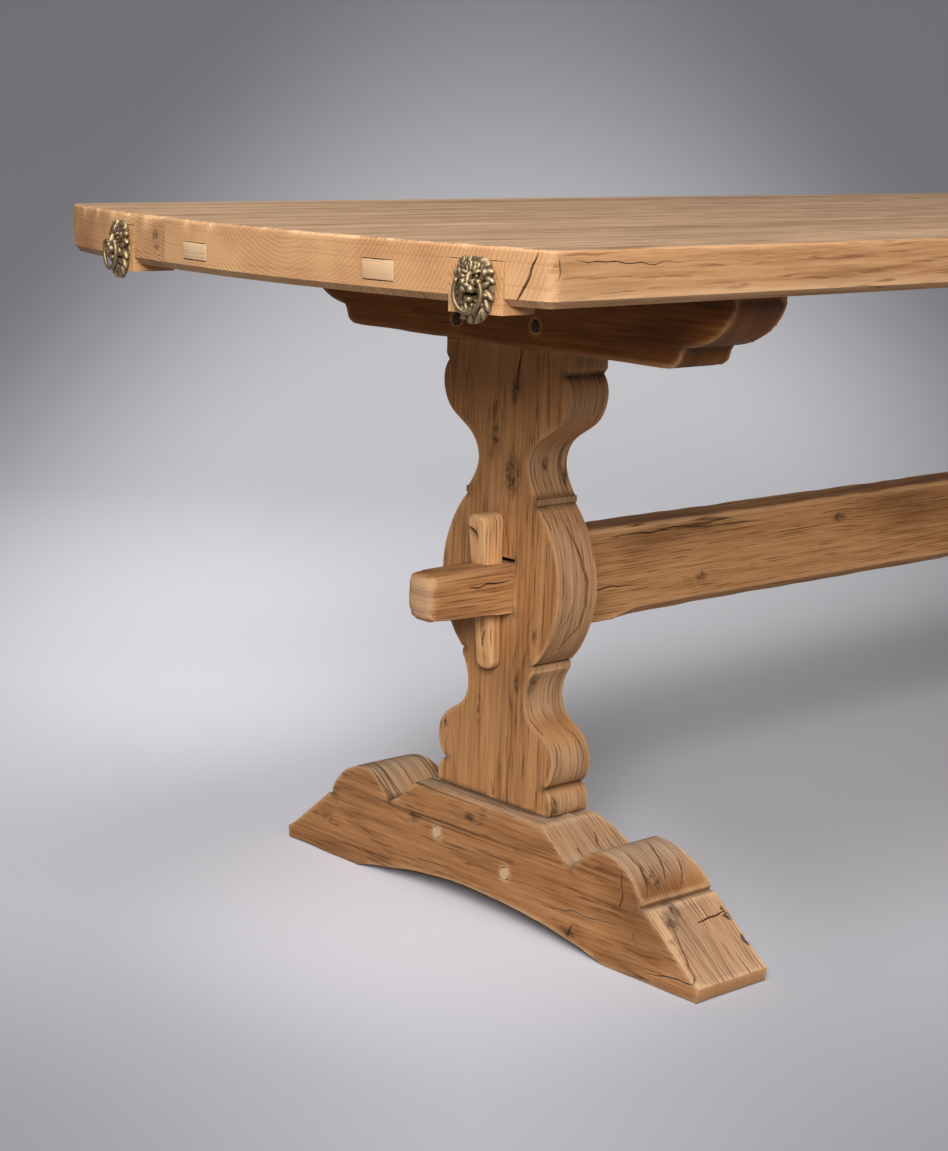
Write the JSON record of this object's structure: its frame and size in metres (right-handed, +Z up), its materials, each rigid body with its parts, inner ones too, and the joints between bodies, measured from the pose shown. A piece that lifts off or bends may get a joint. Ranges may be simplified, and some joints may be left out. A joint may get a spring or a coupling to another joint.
{
  "type": "trestle dining table",
  "caption": "Plank-topped oak trestle table with bowed ends, shaped trestles, a keyed stretcher, and draw-out leaf lopers with lion-mask ring pulls.",
  "frame": {"origin": "on the floor, under the middle of the top", "axes": "+X along the table towards end b, +Y across towards the far side, +Z up"},
  "size_m": [2.2, 0.762, 0.765],
  "materials": {
    "oak_top": "worn bleached oak",
    "oak_frame": "worn waxed oak",
    "oak_key": "worn waxed oak",
    "oak_pale": "pale newer oak",
    "brass_old": "dull antique brass",
    "steel": "dull steel"
  },
  "bodies": {
    "table": {"top_board_1": "oak_top", "top_board_2": "oak_top", "top_board_3": "oak_top", "board_tongues": "oak_pale", "end_plugs": "oak_pale", "foot_a": "oak_frame", "foot_b": "oak_frame", "post_a": "oak_frame", "post_b": "oak_frame", "bearer_a": "oak_frame", "bearer_b": "oak_frame", "stretcher": "oak_frame", "foot_pegs": "oak_pale", "bearer_pegs": "oak_pale", "top_screws": "steel"},
    "loper_a_near": {"loper_a_near": "oak_frame", "loper_stop_a_near": "oak_pale", "lion_mask_a_near": "brass_old", "mask_pins_a_near": "brass_old"},
    "ring_a_near": {"ring_a_near": "brass_old"},
    "loper_a_far": {"loper_a_far": "oak_frame", "loper_stop_a_far": "oak_pale", "lion_mask_a_far": "brass_old", "mask_pins_a_far": "brass_old"},
    "ring_a_far": {"ring_a_far": "brass_old"},
    "loper_b_near": {"loper_b_near": "oak_frame", "loper_stop_b_near": "oak_pale", "lion_mask_b_near": "brass_old", "mask_pins_b_near": "brass_old"},
    "ring_b_near": {"ring_b_near": "brass_old"},
    "loper_b_far": {"loper_b_far": "oak_frame", "loper_stop_b_far": "oak_pale", "lion_mask_b_far": "brass_old", "mask_pins_b_far": "brass_old"},
    "ring_b_far": {"ring_b_far": "brass_old"},
    "tusk_key_a": {"tusk_key_a": "oak_key"},
    "tusk_key_b": {"tusk_key_b": "oak_key"}
  },
  "joints": [
    {"name": "loper_slide_a_near", "type": "slide", "parent": "table", "child": "loper_a_near", "axis": [-1, 0, 0], "range_m": [0, 0.38]},
    {"name": "ring_hinge_a_near", "type": "hinge", "parent": "loper_a_near", "child": "ring_a_near", "pos_m": [-1.0763, -0.3093, 0.734], "axis": [-0.239, 0.971, 0], "range_deg": [0, 85]},
    {"name": "loper_slide_a_far", "type": "slide", "parent": "table", "child": "loper_a_far", "axis": [-1, 0, 0], "range_m": [0, 0.38]},
    {"name": "ring_hinge_a_far", "type": "hinge", "parent": "loper_a_far", "child": "ring_a_far", "pos_m": [-1.0942, 0.22439, 0.734], "axis": [0.1734, 0.9849, 0], "range_deg": [0, 85]},
    {"name": "loper_slide_b_near", "type": "slide", "parent": "table", "child": "loper_b_near", "axis": [1, 0, 0], "range_m": [0, 0.38]},
    {"name": "ring_hinge_b_near", "type": "hinge", "parent": "loper_b_near", "child": "ring_b_near", "pos_m": [1.0942, -0.22439, 0.734], "axis": [-0.1734, -0.9849, 0], "range_deg": [0, 85]},
    {"name": "loper_slide_b_far", "type": "slide", "parent": "table", "child": "loper_b_far", "axis": [1, 0, 0], "range_m": [0, 0.38]},
    {"name": "ring_hinge_b_far", "type": "hinge", "parent": "loper_b_far", "child": "ring_b_far", "pos_m": [1.0763, 0.3093, 0.734], "axis": [0.239, -0.971, 0], "range_deg": [0, 85]},
    {"name": "tusk_key_a_lift", "type": "slide", "parent": "table", "child": "tusk_key_a", "axis": [0, 0, 1], "range_m": [0, 0.13]},
    {"name": "tusk_key_b_lift", "type": "slide", "parent": "table", "child": "tusk_key_b", "axis": [0, 0, 1], "range_m": [0, 0.13]}
  ]
}
